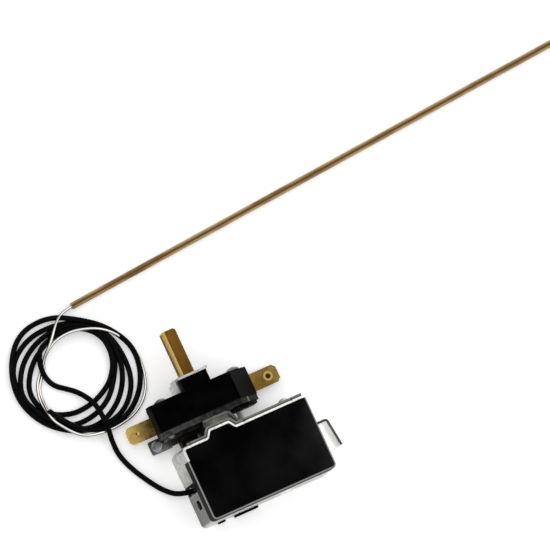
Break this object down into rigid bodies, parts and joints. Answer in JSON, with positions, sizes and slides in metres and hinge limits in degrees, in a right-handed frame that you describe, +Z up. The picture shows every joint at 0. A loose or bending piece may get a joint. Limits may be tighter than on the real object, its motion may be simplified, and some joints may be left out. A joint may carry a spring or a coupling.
{
  "type": "capillary thermostat",
  "caption": "Capillary thermostat: sheet-steel case with black lid, switch block, D-shaft, blade terminals, coiled sleeved capillary and a long thin sensing bulb.",
  "frame": {"origin": "middle of the case and switch block at their underside, measured without the capillary and the bulb", "axes": "+X along the case's long side towards the hook, +Y along the shaft towards its tip, +Z up through the lid as the part lies flat"},
  "size_m": [0.2272, 0.107, 0.022],
  "materials": {
    "zinc_steel": "bright zinc plating, lightly scratched",
    "spring_steel": "plated spring strip and wire",
    "bright_steel": "bright metal",
    "dark_steel": "dull grey plating",
    "black_lid": "semi-matt moulded black",
    "black_moulding": "semi-matt moulded black",
    "grey_moulding": "dark grey moulding",
    "shaft_brass": "turned and slightly tarnished",
    "blade_brass": "stamped strip",
    "arm_bronze": "spring bronze strip",
    "contact_silver": "bright silver alloy",
    "white_ceramic": "fired ceramic",
    "black_sleeve": "smooth flexible tubing",
    "copper_bulb": "drawn tube, lightly oxidised"
  },
  "bodies": {
    "base": {"case_frame": "zinc_steel", "case_lid": "black_lid", "side_hook": "spring_steel", "saddle_bridge": "zinc_steel", "front_rivet": "zinc_steel", "switch_housing": "black_moulding", "switch_base": "grey_moulding", "housing_rivets": "bright_steel", "bearing_clip": "bright_steel", "left_terminal": "blade_brass", "right_terminal": "blade_brass", "fixed_contact": "contact_silver", "diaphragm_capsule": "bright_steel", "lever_pin": "dark_steel", "pivot_bracket": "zinc_steel", "range_bush": "shaft_brass", "bush_nut": "shaft_brass", "earth_lug": "zinc_steel", "lug_screw": "dark_steel", "capillary_ferrule": "bright_steel", "inner_capillary": "bright_steel", "capillary_sleeve": "black_sleeve", "sleeve_coil": "black_sleeve", "capillary_tail": "bright_steel", "bulb": "copper_bulb"},
    "shaft": {"shaft": "shaft_brass"},
    "spindle": {"range_spindle": "shaft_brass", "spring_cup": "spring_steel"},
    "lever": {"range_lever": "dark_steel", "calibration_screw": "dark_steel", "range_spring": "spring_steel"},
    "button": {"pressure_button": "dark_steel"},
    "pin": {"push_pin": "white_ceramic"},
    "arm": {"contact_arm": "arm_bronze", "arm_contact": "contact_silver"}
  },
  "joints": [
    {"name": "shaft_turn", "type": "hinge", "parent": "base", "child": "shaft", "pos_m": [-0.00587, 0.0101, 0.0094], "axis": [0, -1, 0], "range_deg": [0, 270]},
    {"name": "spindle_advance", "type": "slide", "parent": "shaft", "child": "spindle", "axis": [0, -1, 0], "range_m": [0, 0.0005625], "deforming": ["range_spring"]},
    {"name": "lever_tilt", "type": "hinge", "parent": "base", "child": "lever", "pos_m": [0.02073, -0.0207, 0.0094], "axis": [0, 0, -1], "range_deg": [0, 1.79], "stiffness_Nm_per_rad": 0.5},
    {"name": "button_travel", "type": "slide", "parent": "base", "child": "button", "axis": [0, 1, 0], "range_m": [0, 0.00035]},
    {"name": "pin_travel", "type": "slide", "parent": "base", "child": "pin", "axis": [0, 1, 0], "range_m": [0, 0.00046]},
    {"name": "contact_tilt", "type": "hinge", "parent": "base", "child": "arm", "pos_m": [0.01083, 0.0054, 0.0065], "axis": [0, 0, -1], "range_deg": [0, 5.5]}
  ],
  "couplings": [
    {"joint": "shaft_turn", "follows": "spindle_advance", "rad_per_m": 8377.6},
    {"joint": "button_travel", "follows": "lever_tilt", "m_per_rad": 0.0112},
    {"joint": "pin_travel", "follows": "lever_tilt", "m_per_rad": 0.0147},
    {"joint": "contact_tilt", "follows": "lever_tilt", "ratio": 3.0625}
  ]
}
